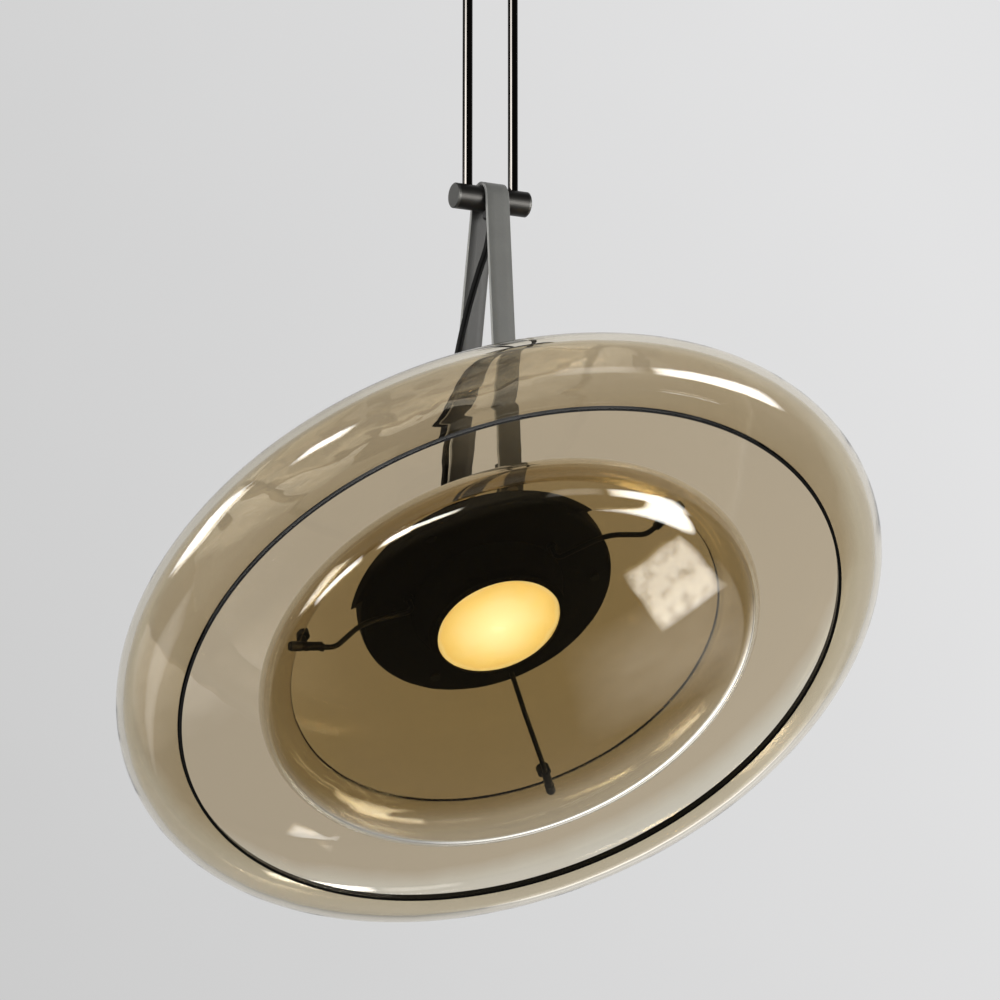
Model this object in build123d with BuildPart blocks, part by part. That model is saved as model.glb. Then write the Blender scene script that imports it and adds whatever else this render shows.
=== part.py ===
"""A tilting glass pendant lamp.

Two thin rods hang a short crossbar from a ceiling canopy. A leather strap is slung over the crossbar, and its
two ends carry a yoke. The lamp head tilts on a friction pivot below the yoke. The head is a domed shade of
smoked glass with a rolled rim, a black lamp housing in its middle, and a closed glass bowl that hangs by its
lip on three bent arms.

Millimetres, +Z up. The origin is the middle of the ceiling face, X runs along the crossbar, and -Y is the side
that the light faces.
"""

import os
from math import acos, asin, atan2, cos, degrees, pi, radians, sin, sqrt, tan

from build123d import *

# Canopy and what it covers
canopy_diameter = 120.0
canopy_height = 34.0
canopy_wall = 1.6
canopy_floor = 2.0
plate_clearance = 0.25
plate_thickness = 6.0
mains_hole_radius = 5.0
mains_hole_front = 12.0
ceiling_hole_spacing = 70.0
ceiling_hole_radius = 2.5
side_screw_radius = 1.5
side_screw_length = 9.0
side_screw_head_radius = 2.75
side_screw_head_height = 1.8
screw_clearance = 0.08
driver_length = 66.0
driver_width = 28.0
driver_height = 18.0
driver_back = 31.0
driver_chamfer = 4.0
terminal_length = 30.0
terminal_width = 16.0
terminal_height = 12.0
terminal_front = 28.0
terminal_hole_radius = 1.6

# Suspension rods and crossbar
suspension_drop = 340.0
rod_spacing = 30.0
rod_diameter = 6.0
rod_bore = 4.0
rod_thread_depth = 5.0
rod_fit = 0.03
lock_nut_across = 10.0
lock_nut_height = 5.0
collar_diameter = 12.0
collar_height = 8.0
collar_chamfer = 0.8
bar_diameter = 15.0
bar_length = 48.0
cap_thickness = 1.6
cap_stub_length = 2.0
cap_chamfer = 0.5
grub_radius = 2.5
grub_length = 2.2
grommet_radius = 4.5
grommet_drop = 4.2
grommet_round = 1.2
grommet_stem_radius = 2.4
grommet_bore_radius = 1.3
fit_gap = 0.1

# Strap and yoke, in the plane across the crossbar
strap_width = 15.0
strap_thickness = 2.2
strap_seat_gap = 0.3
strap_drop = 179.0
strap_front_reach = 25.0
strap_rear_reach = 45.5
yoke_sheet = 3.0
yoke_tab = 20.0
lug_width = 8.0
lug_radius = 8.0
rivet_radius = 1.75
rivet_head_radius = 3.4
rivet_head_height = 1.2
rivet_pitch = 9.0
rivet_from_end = 5.5

# Pose and place of the lamp head
head_tilt = 38.6
head_forward = 21.0
head_below_strap = 86.2

# Outer shade: one blown wall with a flat crown, a dome, a rolled rim and a turned-in lip
shade_radius = 225.0
shade_wall = 4.0
shade_crown_height = 56.5
shade_crown_radius = 40.0
shade_hole_radius = 5.5
rim_radius = 20.0
shade_lip_radius = 64.0
shade_mouth_inset = 32.3

# Inner bowl: closed below, with a shoulder that turns in to a lip
bowl_radius = 147.0
bowl_wall = 3.2
bowl_equator = -10.5
bowl_depth = 30.5
bowl_knuckle = 20.0
bowl_shoulder = 15.2
bowl_lip_inset = 22.0
bowl_lip_round = 1.4

# Lamp housing and light engine
housing_radius = 75.0
housing_wall = 2.5
housing_rim = 11.0
housing_round = 3.0
boss_base_radius = 45.5
boss_front_radius = 39.5
boss_length = 21.5
boss_collar = 4.0
boss_round = 1.2
cover_thickness = 3.0
cover_fit = 0.2
gasket_radius = 32.0
lower_gasket_thickness = 2.5
upper_gasket_thickness = 1.5
cover_screw_radius = 1.5
cover_screw_head_radius = 2.8
cover_screw_head_height = 1.4
cover_screw_engagement = 2.0
cover_screw_circle = 64.0
cover_screw_count = 3
cover_screw_start = -22.0
sink_radius = 33.0
sink_base = 4.0
sink_recess_radius = 11.0
sink_recess_depth = 8.0
sink_slots = 16
sink_slot_width = 3.0
sink_slot_inner_radius = 15.0
engine_gap = 8.5
board_thickness = 1.6
chip_size = 3.2
chip_height = 0.8
chip_circle = 21.0
chip_count = 12
bezel_inner_radius = 36.5
bezel_lip = 1.5
bezel_skirt = 3.5
bezel_wall = 1.2
diffuser_thickness = 2.4
diffuser_crown = 1.2

# Centre nipple and tilt hub
nipple_radius = 5.0
nipple_bore_radius = 3.2
nipple_thread = 3.0
nipple_nut_across = 16.0
nipple_nut_height = 4.5
nipple_tail = 1.0
hub_radius = 32.0
hub_height = 8.0
hub_wall = 3.0
hub_round = 1.2
hub_boss_radius = 9.0
hub_wire_slot = 5.0
pivot_rise = 11.0
pivot_forward = 18.0
ear_thickness = 4.0
washer_thickness = 0.9
pin_radius = 3.0
pin_clearance = 0.05
pin_head_radius = 5.5
pin_head_height = 2.5
pin_tail = 1.0
tilt_nut_across = 10.0
tilt_nut_height = 4.5
gland_radius = 4.5
gland_length = 16.0
gland_chamfer = 1.6
gland_side = 17.0
gland_back = 10.0
gland_hole_radius = 2.5

# Bowl arms and clips
arm_count = 3
arm_first_angle = 56.5
arm_diameter = 3.0
arm_root_radius = 50.0
arm_root_engagement = 4.0
arm_drop = 11.0
arm_knee_inset = 41.0
arm_knee_drop = 22.0
arm_run_in_inset = 19.0
arm_bends = (6.0, 50.0, 12.0)
arm_fit = 0.03
ferrule_radius = 3.0
ferrule_height = 3.0
sleeve_radius = 2.5
sleeve_start_inset = 12.0
sleeve_length = 20.0
sleeve_bore_depth = 6.5
sleeve_gap = 0.5
pad_start_reach = 1.0
pad_length = 6.0
pad_wall = 0.35
clip_screw_inset = 2.2
clip_screw_radius = 1.5
clip_screw_clearance = 0.05
clip_knob_radius = 4.0
clip_knob_height = 5.0
clip_knob_chamfer = 0.6
clip_knob_gap = 0.4

# Supply cord, from the grommet under the crossbar to the gland on the hub
cord_diameter = 4.0

# Levels and planes worked out from the sizes
bar_z = -suspension_drop
bar_radius = bar_diameter / 2
tilt = radians(head_tilt)
head = Plane(
    origin=(0, -head_forward, bar_z - strap_drop - head_below_strap),
    x_dir=(1, 0, 0),
    z_dir=(0, sin(tilt), cos(tilt)),
)
head_axis = Axis(head.origin, head.z_dir)
sling = Plane(origin=(0, 0, bar_z), x_dir=(0, 1, 0), z_dir=(1, 0, 0))

housing_back = shade_crown_height - shade_wall - lower_gasket_thickness
housing_face = housing_back - housing_rim
housing_inner_face = housing_face + housing_wall
boss_front = housing_face - boss_length
cover_bottom = housing_back - cover_thickness
hub_bottom = shade_crown_height + upper_gasket_thickness
hub_top = hub_bottom + hub_height
pivot_level = hub_top + pivot_rise
pivot = head.from_local_coords(Vector(0, -pivot_forward, pivot_level))
ear_inner = lug_width / 2 + washer_thickness
ear_outer = ear_inner + ear_thickness

shade_mouth_radius = shade_radius - shade_mouth_inset
bowl_lip_radius = bowl_radius - bowl_lip_inset
lip_centre_radius = bowl_radius - bowl_shoulder
lip_angle = acos((bowl_lip_radius - lip_centre_radius) / bowl_shoulder)
lip_bottom = bowl_equator + (bowl_shoulder - bowl_wall) * sin(lip_angle)
sleeve_level = lip_bottom - sleeve_gap - sleeve_radius
arm_knee_radius = bowl_lip_radius - arm_knee_inset
arm_run_in_radius = bowl_lip_radius - arm_run_in_inset
sleeve_start_radius = bowl_lip_radius - sleeve_start_inset
pad_start_radius = bowl_lip_radius + pad_start_reach
clip_screw_circle = bowl_lip_radius - clip_screw_inset
knob_overlap = lip_centre_radius - clip_screw_circle - clip_knob_radius
knob_bottom = bowl_equator + sqrt(bowl_shoulder**2 - knob_overlap**2) + clip_knob_gap
arm_angles = [arm_first_angle + 360 / arm_count * index for index in range(arm_count)]


def radial_section(angle):
    """The plane through the head's axis at an angle round it: local X is outward, local Y is along the axis."""
    outward = head.x_dir * cos(radians(angle)) + head.y_dir * sin(radians(angle))
    return Plane(origin=head.origin, x_dir=outward, z_dir=outward.cross(head.z_dir))


def head_level(height):
    """The plane across the head's axis at a height above the shade's widest circle."""
    return head.offset(height)


def across_head(side):
    """The plane across the pivot's axis at a distance to one side: local X is back, local Y is along the axis."""
    return Plane(origin=head.from_local_coords(Vector(side, 0, 0)), x_dir=head.y_dir, z_dir=head.x_dir)


def side_plane(distance, level, way):
    """The plane that faces along X at a distance from the middle, on the left or the right."""
    return Plane(origin=(way * distance, 0, level), x_dir=(0, way, 0), z_dir=(way, 0, 0))


def round_spots(circle, angles):
    """Points on a circle, for sketches on the head's levels."""
    return [(circle * cos(radians(angle)), circle * sin(radians(angle))) for angle in angles]


def save(part, name):
    """Labels a finished piece and writes it as its own STEP file."""
    part.label = name
    export_step(part, f"parts/{name}.step")
    print(f"{name}: {len(part.solids())} solid(s), {part.volume / 1000:.2f} cm3")


section = radial_section(0)
os.makedirs("parts", exist_ok=True)

# Canopy: the ceiling plate, the cup that covers it, and the supply inside
cup_inner_radius = canopy_diameter / 2 - canopy_wall
plate_radius = cup_inner_radius - plate_clearance
side_screw_level = -plate_thickness / 2
rod_places = [(-rod_spacing / 2, 0), (rod_spacing / 2, 0)]

with BuildPart() as ceiling_plate:
    with BuildSketch(Plane.XY.offset(-plate_thickness)):
        Circle(plate_radius)
        with Locations((0, -mains_hole_front)):
            Circle(mains_hole_radius, mode=Mode.SUBTRACT)
        with GridLocations(ceiling_hole_spacing, 0, 2, 1):
            Circle(ceiling_hole_radius, mode=Mode.SUBTRACT)
    extrude(amount=plate_thickness)
    with BuildSketch(Plane.XY.offset(-plate_thickness)):
        with Locations(*rod_places):
            Circle(rod_diameter / 2 + rod_fit)
    extrude(amount=rod_thread_depth, mode=Mode.SUBTRACT)
    with Locations(*[side_plane(plate_radius, side_screw_level, way) for way in (-1, 1)]):
        Hole(side_screw_radius + screw_clearance, depth=side_screw_length)
save(ceiling_plate.part, "ceiling_plate")

with BuildPart() as canopy_cup:
    with BuildSketch(Plane.XY.offset(-canopy_height)):
        Circle(canopy_diameter / 2)
    extrude(amount=canopy_height)
    fillet(canopy_cup.edges().group_by(Axis.Z)[0], radius=canopy_wall)
    with BuildSketch(Plane.XY.offset(canopy_floor - canopy_height)):
        Circle(cup_inner_radius)
    extrude(amount=canopy_height, mode=Mode.SUBTRACT)
    with BuildSketch(Plane.XY.offset(-canopy_height)):
        with Locations(*rod_places):
            Circle(rod_diameter / 2 + fit_gap)
    extrude(amount=canopy_floor, mode=Mode.SUBTRACT)
    with Locations(*[side_plane(canopy_diameter / 2, side_screw_level, way) for way in (-1, 1)]):
        Hole(side_screw_radius + screw_clearance, depth=2 * canopy_wall)
save(canopy_cup.part, "canopy_cup")

with BuildPart() as canopy_screws:
    for way in (-1, 1):
        seat = side_plane(canopy_diameter / 2, side_screw_level, way)
        with BuildSketch(seat):
            Circle(side_screw_radius)
        extrude(amount=-side_screw_length)
        with BuildSketch(seat):
            Circle(side_screw_head_radius)
        extrude(amount=side_screw_head_height)
save(canopy_screws.part, "canopy_screws")

with BuildPart() as led_driver:
    with BuildSketch(Plane.XY.offset(-plate_thickness)):
        with Locations((0, driver_back)):
            Rectangle(driver_length, driver_width)
    extrude(amount=-driver_height)
    chamfer(led_driver.edges().filter_by(Axis.Z), length=driver_chamfer)
save(led_driver.part, "led_driver")

with BuildPart() as terminal_block:
    with BuildSketch(Plane.XY.offset(-plate_thickness)):
        with Locations((0, -terminal_front)):
            Rectangle(terminal_length, terminal_width)
    extrude(amount=-terminal_height)
    with BuildSketch(Plane.XY.offset(-plate_thickness - terminal_height)):
        with Locations((0, -terminal_front)):
            with GridLocations(terminal_length / 3, terminal_width / 2, 3, 2):
                Circle(terminal_hole_radius)
    extrude(amount=terminal_height / 2, mode=Mode.SUBTRACT)
save(terminal_block.part, "terminal_block")

# Suspension: two rods with their nuts and collars, and the crossbar they end in
rod_top = rod_thread_depth - plate_thickness
bar_end = bar_length / 2 - cap_thickness

for side, place in zip(("left", "right"), rod_places):
    with BuildPart() as suspension_rod:
        with BuildSketch(Plane.XY.offset(bar_z)):
            with Locations(place):
                Circle(rod_diameter / 2)
                Circle(rod_bore / 2, mode=Mode.SUBTRACT)
        extrude(amount=rod_top - bar_z)
    save(suspension_rod.part, f"suspension_rod_{side}")

with BuildPart() as rod_lock_nuts:
    with BuildSketch(Plane.XY.offset(-plate_thickness)):
        with Locations(*rod_places):
            RegularPolygon(lock_nut_across / 2, 6, major_radius=False)
            Circle(rod_diameter / 2 + rod_fit, mode=Mode.SUBTRACT)
    extrude(amount=-lock_nut_height)
save(rod_lock_nuts.part, "rod_lock_nuts")

with BuildPart() as rod_collars:
    with BuildSketch(Plane.XY.offset(-canopy_height)):
        with Locations(*rod_places):
            Circle(collar_diameter / 2)
    extrude(amount=-collar_height)
    chamfer(rod_collars.edges().group_by(Axis.Z)[0], length=collar_chamfer)
    with BuildSketch(Plane.XY.offset(-canopy_height)):
        with Locations(*rod_places):
            Circle(rod_diameter / 2 + rod_fit)
    extrude(amount=-collar_height, mode=Mode.SUBTRACT)
save(rod_collars.part, "rod_collars")

with BuildPart() as crossbar:
    with BuildSketch(side_plane(bar_end, bar_z, -1)):
        Circle(bar_radius)
    extrude(amount=-2 * bar_end)
    with BuildSketch(Plane.XY.offset(bar_z)):
        with Locations(*rod_places):
            Circle(rod_diameter / 2 + rod_fit)
    extrude(amount=bar_diameter, mode=Mode.SUBTRACT)
    with BuildSketch(side_plane(bar_end, bar_z, -1)):
        Circle(grub_radius + screw_clearance)
    extrude(amount=-2 * bar_end, mode=Mode.SUBTRACT)
    with BuildSketch(Plane.XY.offset(bar_z - bar_radius)):
        Circle(grommet_stem_radius + fit_gap)
    extrude(amount=bar_radius, mode=Mode.SUBTRACT)
save(crossbar.part, "crossbar")

with BuildPart() as crossbar_grub_screws:
    for way in (-1, 1):
        with BuildSketch(side_plane((rod_spacing + rod_diameter) / 2 + fit_gap, bar_z, way)):
            Circle(grub_radius)
        extrude(amount=grub_length)
save(crossbar_grub_screws.part, "crossbar_grub_screws")

with BuildPart() as crossbar_end_caps:
    for way in (-1, 1):
        seat = side_plane(bar_end, bar_z, way)
        with BuildSketch(seat):
            Circle(bar_radius)
        extrude(amount=cap_thickness)
        with BuildSketch(seat):
            Circle(grub_radius)
        extrude(amount=-cap_stub_length)
    end_rims = crossbar_end_caps.edges().group_by(Axis.X)
    chamfer(end_rims[0] + end_rims[-1], length=cap_chamfer)
save(crossbar_end_caps.part, "crossbar_end_caps")

grommet_face = bar_z - bar_radius - grommet_drop

with BuildPart() as cord_grommet:
    with BuildSketch(Plane.XY.offset(grommet_face)):
        Circle(grommet_radius)
    extrude(amount=grommet_drop + bar_radius / 2)
    fillet(cord_grommet.edges().group_by(Axis.Z)[0], radius=grommet_round)
    with BuildSketch(side_plane(bar_end, bar_z, -1)):
        Circle(bar_radius)
    extrude(amount=-2 * bar_end, mode=Mode.SUBTRACT)
    with BuildSketch(Plane.XY.offset(grommet_face + grommet_drop / 2)):
        Circle(grommet_stem_radius)
    extrude(amount=grommet_drop / 2 + bar_radius - grub_radius - 2 * fit_gap)
    with BuildSketch(Plane.XY.offset(grommet_face)):
        Circle(grommet_bore_radius)
    extrude(amount=grommet_drop + bar_radius, mode=Mode.SUBTRACT)
save(cord_grommet.part, "cord_grommet")

# Sling: the strap over the crossbar, and the yoke riveted to its two ends
strap_bend_radius = bar_radius + strap_seat_gap + strap_thickness / 2


def strap_leg(reach):
    """One leg of the strap in the sling plane: its end, where it meets the bend, the way up and the way in."""
    end = Vector(reach, -strap_drop, 0)
    swing = acos(strap_bend_radius / end.length)
    bearing = atan2(end.Y, end.X) + (swing if reach > 0 else -swing)
    touch = Vector(cos(bearing), sin(bearing), 0) * strap_bend_radius
    up = (touch - end).normalized()
    inward = Vector(-up.Y, up.X, 0) if reach > 0 else Vector(up.Y, -up.X, 0)
    return end, touch, up, inward


legs = [strap_leg(-strap_front_reach), strap_leg(strap_rear_reach)]
rivet_seats = []
for end, touch, up, inward in legs:
    outward = Vector(0, -inward.X, -inward.Y)
    for step in range(2):
        spot = end + up * (rivet_from_end + rivet_pitch * step) - inward * (strap_thickness / 2)
        rivet_seats.append(Plane(origin=sling.from_local_coords(spot), x_dir=(1, 0, 0), z_dir=outward))
rivet_grip = strap_thickness + yoke_sheet

with BuildPart() as hanging_strap:
    with BuildSketch(sling.offset(-strap_width / 2)):
        with BuildLine():
            Line(legs[0][0], legs[0][1])
            ThreePointArc(legs[0][1], Vector(0, strap_bend_radius, 0), legs[1][1])
            Line(legs[1][1], legs[1][0])
        trace(line_width=strap_thickness)
    extrude(amount=strap_width)
    with Locations(*rivet_seats):
        Hole(rivet_radius + rod_fit, depth=2 * strap_thickness)
save(hanging_strap.part, "hanging_strap")

yoke_offset = (strap_thickness + yoke_sheet) / 2
tab_feet = [leg[0] + leg[3] * yoke_offset for leg in legs]
tab_tops = [foot + leg[2] * yoke_tab for foot, leg in zip(tab_feet, legs)]
lug_place = Vector(pivot.Y, pivot.Z - bar_z, 0)
lug_top = Vector(pivot.Y, (tab_feet[0].Y + tab_feet[1].Y) / 2, 0)

with BuildPart() as strap_yoke:
    with BuildSketch(sling.offset(-strap_width / 2)):
        with BuildLine():
            Polyline(tab_tops[0], tab_feet[0], tab_feet[1], tab_tops[1])
        trace(line_width=yoke_sheet)
    extrude(amount=strap_width)
    with BuildSketch(sling.offset(-lug_width / 2)):
        with BuildLine():
            Line(lug_top, lug_place)
        trace(line_width=2 * lug_radius)
        with Locations(lug_place):
            Circle(lug_radius)
    extrude(amount=lug_width)
    with BuildSketch(sling.offset(-lug_width / 2)):
        with Locations(lug_place):
            Circle(pin_radius + pin_clearance)
    extrude(amount=lug_width, mode=Mode.SUBTRACT)
    with Locations(*rivet_seats):
        Hole(rivet_radius + rod_fit, depth=strap_thickness + 2 * yoke_sheet)
save(strap_yoke.part, "strap_yoke")

with BuildPart() as strap_rivets:
    for seat in rivet_seats:
        with BuildSketch(seat):
            Circle(rivet_radius)
        extrude(amount=-rivet_grip)
        with BuildSketch(seat):
            Circle(rivet_head_radius)
        extrude(amount=rivet_head_height)
        with BuildSketch(seat.offset(-rivet_grip)):
            Circle(rivet_head_radius)
        extrude(amount=-rivet_head_height)
save(strap_rivets.part, "strap_rivets")

# Tilt hub on the shade's crown, with its pin, washers, nut and cord gland
gland_spot = (-gland_side, gland_back)
gland_foot = head.from_local_coords(Vector(-gland_side, gland_back, hub_top))
wire_way = degrees(atan2(gland_back, -gland_side))

with BuildPart() as tilt_hub:
    with BuildSketch(head_level(hub_bottom)):
        Circle(hub_radius)
    extrude(amount=hub_height)
    fillet(tilt_hub.faces().sort_by(head_axis)[-1].edges(), radius=hub_round)
    with BuildSketch(head_level(hub_bottom)):
        Circle(hub_radius - hub_wall)
        Circle(hub_boss_radius, mode=Mode.SUBTRACT)
    extrude(amount=hub_height - hub_wall, mode=Mode.SUBTRACT)
    with BuildSketch(head_level(hub_bottom)):
        Circle(nipple_radius + rod_fit)
    extrude(amount=hub_height - hub_wall, mode=Mode.SUBTRACT)
    with BuildSketch(head_level(hub_bottom + nipple_thread)):
        with Locations(Location((0, 0), wire_way)):
            Rectangle(2 * hub_boss_radius, hub_wire_slot, align=(Align.MIN, Align.CENTER))
    extrude(amount=hub_height - hub_wall - nipple_thread, mode=Mode.SUBTRACT)
    with BuildSketch(head_level(hub_top - hub_wall)):
        with Locations(gland_spot):
            Circle(gland_hole_radius)
    extrude(amount=hub_wall, mode=Mode.SUBTRACT)
    for side in (ear_inner, -ear_outer):
        with BuildSketch(across_head(side)):
            with Locations((-pivot_forward, pivot_level)):
                Circle(lug_radius)
            with Locations((-pivot_forward, hub_top)):
                Rectangle(2 * lug_radius, pivot_rise, align=(Align.CENTER, Align.MIN))
            with Locations((-pivot_forward, pivot_level)):
                Circle(pin_radius + pin_clearance, mode=Mode.SUBTRACT)
        extrude(amount=ear_thickness)
save(tilt_hub.part, "tilt_hub")

with BuildPart() as cord_gland:
    with BuildSketch(Plane.XY.offset(gland_foot.Z + gland_length)):
        with Locations((gland_foot.X, gland_foot.Y)):
            Circle(gland_radius)
    extrude(amount=-2 * gland_length)
    split(bisect_by=head_level(hub_top), keep=Keep.TOP)
    chamfer(cord_gland.edges().group_by(Axis.Z)[-1], length=gland_chamfer)
save(cord_gland.part, "cord_gland")

with BuildPart() as tilt_pin:
    with BuildSketch(across_head(-ear_outer)):
        with Locations((-pivot_forward, pivot_level)):
            Circle(pin_radius)
    extrude(amount=2 * ear_outer + tilt_nut_height + pin_tail)
    with BuildSketch(across_head(-ear_outer)):
        with Locations((-pivot_forward, pivot_level)):
            Circle(pin_head_radius)
    extrude(amount=-pin_head_height)
save(tilt_pin.part, "tilt_pin")

with BuildPart() as tilt_nut:
    with BuildSketch(across_head(ear_outer)):
        with Locations((-pivot_forward, pivot_level)):
            RegularPolygon(tilt_nut_across / 2, 6, major_radius=False)
            Circle(pin_radius + rod_fit, mode=Mode.SUBTRACT)
    extrude(amount=tilt_nut_height)
save(tilt_nut.part, "tilt_nut")

with BuildPart() as friction_washers:
    for side in (lug_width / 2, -ear_inner):
        with BuildSketch(across_head(side)):
            with Locations((-pivot_forward, pivot_level)):
                Circle(lug_radius)
                Circle(pin_radius + pin_clearance, mode=Mode.SUBTRACT)
        extrude(amount=washer_thickness)
save(friction_washers.part, "friction_washers")

# Outer shade: crown, dome, rim and lip, each an arc that runs on from the one before
rim_centre = Vector(shade_radius - rim_radius, 0, 0)
dome_run = rim_centre.X - shade_crown_radius
dome_radius = (dome_run**2 + shade_crown_height**2 - rim_radius**2) / (2 * (shade_crown_height - rim_radius))
dome_centre = Vector(shade_crown_radius, shade_crown_height - dome_radius, 0)
rim_start = degrees(atan2(rim_centre.Y - dome_centre.Y, rim_centre.X - dome_centre.X))
lip_centre = rim_centre + Vector(0, shade_lip_radius - rim_radius, 0)
lip_sweep = degrees(acos((rim_centre.X - shade_mouth_radius) / shade_lip_radius)) - 90


def shade_line(inset):
    """The shade's section line, from its centre hole to its mouth, a set depth inside the outer skin."""
    crown = Line((shade_hole_radius, shade_crown_height - inset), (shade_crown_radius, shade_crown_height - inset))
    dome = CenterArc(dome_centre, dome_radius - inset, 90, rim_start - 90)
    rim = CenterArc(rim_centre, rim_radius - inset, rim_start, -90 - rim_start)
    lip = CenterArc(lip_centre, shade_lip_radius - inset, -90, lip_sweep)
    return crown, dome, rim, lip


with BuildPart() as outer_shade:
    with BuildSketch(section):
        with BuildLine():
            outer_skin = shade_line(0)
            inner_skin = shade_line(shade_wall)
            Line(outer_skin[0] @ 0, inner_skin[0] @ 0)
            Line(outer_skin[3] @ 1, inner_skin[3] @ 1)
        make_face()
    revolve(axis=head_axis)
save(outer_shade.part, "outer_shade")

# Inner bowl: bottom, knuckle and shoulder arcs
knuckle_centre = Vector(bowl_radius - bowl_knuckle, bowl_equator, 0)
bottom_radius = (knuckle_centre.X**2 + bowl_depth**2 - bowl_knuckle**2) / (2 * (bowl_depth - bowl_knuckle))
bottom_centre = Vector(0, bowl_equator - bowl_depth + bottom_radius, 0)
knuckle_start = degrees(atan2(knuckle_centre.Y - bottom_centre.Y, knuckle_centre.X - bottom_centre.X))


def bowl_line(inset):
    """The bowl's section line, from the middle of its bottom to its lip, a set depth inside the outer skin."""
    bottom = CenterArc(bottom_centre, bottom_radius - inset, -90, knuckle_start + 90)
    knuckle = CenterArc(knuckle_centre, bowl_knuckle - inset, knuckle_start, -knuckle_start)
    shoulder = CenterArc((lip_centre_radius, bowl_equator), bowl_shoulder - inset, 0, degrees(lip_angle))
    return bottom, knuckle, shoulder


with BuildPart() as inner_bowl:
    with BuildSketch(section):
        with BuildLine():
            outer_skin = bowl_line(0)
            inner_skin = bowl_line(bowl_wall)
            Line(outer_skin[0] @ 0, inner_skin[0] @ 0)
            Line(outer_skin[2] @ 1, inner_skin[2] @ 1)
        make_face()
    revolve(axis=head_axis)
    lip_rims = inner_bowl.edges().filter_by(GeomType.CIRCLE).sort_by(lambda rim: rim.radius)
    fillet([rim for rim in lip_rims if rim.radius < lip_centre_radius - bowl_wall], radius=bowl_lip_round)
save(inner_bowl.part, "inner_bowl")

# Gaskets and the nipple that clamp the shade between the hub and the housing
for name, foot, thickness in (
    ("upper_gasket", shade_crown_height, upper_gasket_thickness),
    ("lower_gasket", housing_back, lower_gasket_thickness),
):
    with BuildPart() as gasket:
        with BuildSketch(head_level(foot)):
            Circle(gasket_radius)
            Circle(nipple_radius + fit_gap, mode=Mode.SUBTRACT)
        extrude(amount=thickness)
    save(gasket.part, name)

nipple_bottom = cover_bottom - nipple_nut_height - nipple_tail

with BuildPart() as centre_nipple:
    with BuildSketch(head_level(nipple_bottom)):
        Circle(nipple_radius)
        Circle(nipple_bore_radius, mode=Mode.SUBTRACT)
    extrude(amount=hub_bottom + nipple_thread - nipple_bottom)
save(centre_nipple.part, "centre_nipple")

with BuildPart() as nipple_nut:
    with BuildSketch(head_level(cover_bottom)):
        RegularPolygon(nipple_nut_across / 2, 6, major_radius=False)
        Circle(nipple_radius + rod_fit, mode=Mode.SUBTRACT)
    extrude(amount=-nipple_nut_height)
save(nipple_nut.part, "nipple_nut")

# Lamp housing: a spun shell and its back cover
cover_radius = housing_radius - housing_wall - cover_fit
boss_inner_base = boss_base_radius - housing_wall
boss_inner_front = boss_front_radius - housing_wall + fit_gap
cover_screw_spots = round_spots(
    cover_screw_circle, [cover_screw_start + 360 / cover_screw_count * index for index in range(cover_screw_count)]
)
arm_root_spots = round_spots(arm_root_radius, arm_angles)

with BuildPart() as lamp_housing:
    with BuildSketch(section) as housing_section:
        with BuildLine():
            Polyline(
                (housing_radius, housing_back),
                (housing_radius, housing_face),
                (boss_base_radius, housing_face),
                (boss_front_radius, boss_front + boss_collar),
                (boss_front_radius, boss_front),
                (boss_inner_front, boss_front),
                (boss_inner_front, boss_front + boss_collar),
                (boss_inner_base, housing_inner_face),
                (housing_radius - housing_wall, housing_inner_face),
                (housing_radius - housing_wall, housing_back),
                close=True,
            )
        make_face()
        outer_corners = housing_section.vertices().group_by(Axis.Y)[2].sort_by(Axis.X)
        fillet(outer_corners[-1], radius=housing_round)
        fillet(outer_corners[0], radius=boss_round)
    revolve(axis=head_axis)
    with BuildSketch(head_level(housing_face - housing_wall)):
        with Locations(*arm_root_spots):
            Circle(arm_diameter / 2 + arm_fit)
        with Locations(*cover_screw_spots):
            Circle(cover_screw_radius + screw_clearance)
    extrude(amount=3 * housing_wall, mode=Mode.SUBTRACT)
save(lamp_housing.part, "lamp_housing")

with BuildPart() as housing_cover:
    with BuildSketch(head_level(cover_bottom)):
        Circle(cover_radius)
        Circle(nipple_radius + fit_gap, mode=Mode.SUBTRACT)
    extrude(amount=cover_thickness)
    with BuildSketch(head_level(cover_bottom)):
        with Locations(*cover_screw_spots):
            Circle(cover_screw_radius + screw_clearance)
    extrude(amount=cover_screw_engagement, mode=Mode.SUBTRACT)
save(housing_cover.part, "housing_cover")

with BuildPart() as cover_screws:
    with BuildSketch(head_level(housing_face)):
        with Locations(*cover_screw_spots):
            Circle(cover_screw_radius)
    extrude(amount=cover_bottom + cover_screw_engagement - fit_gap - housing_face)
    with BuildSketch(head_level(housing_face)):
        with Locations(*cover_screw_spots):
            Circle(cover_screw_head_radius)
    extrude(amount=-cover_screw_head_height)
save(cover_screws.part, "cover_screws")

# Light engine: heat sink on the cover, board and chips under it, diffuser and bezel in the boss's mouth
board_face = boss_front + diffuser_thickness + engine_gap
sink_bottom = board_face + board_thickness

with BuildPart() as heat_sink:
    with BuildSketch(head_level(sink_bottom)):
        Circle(sink_radius)
    extrude(amount=cover_bottom - sink_bottom)
    with BuildSketch(head_level(cover_bottom)):
        Circle(sink_recess_radius)
    extrude(amount=-sink_recess_depth, mode=Mode.SUBTRACT)
    with BuildSketch(head_level(sink_bottom + sink_base)):
        with PolarLocations(sink_slot_inner_radius, sink_slots):
            Rectangle(sink_radius, sink_slot_width, align=(Align.MIN, Align.CENTER))
    extrude(amount=cover_bottom - sink_bottom, mode=Mode.SUBTRACT)
save(heat_sink.part, "heat_sink")

with BuildPart() as led_board:
    with BuildSketch(head_level(board_face)):
        Circle(sink_radius)
    extrude(amount=board_thickness)
save(led_board.part, "led_board")

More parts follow.
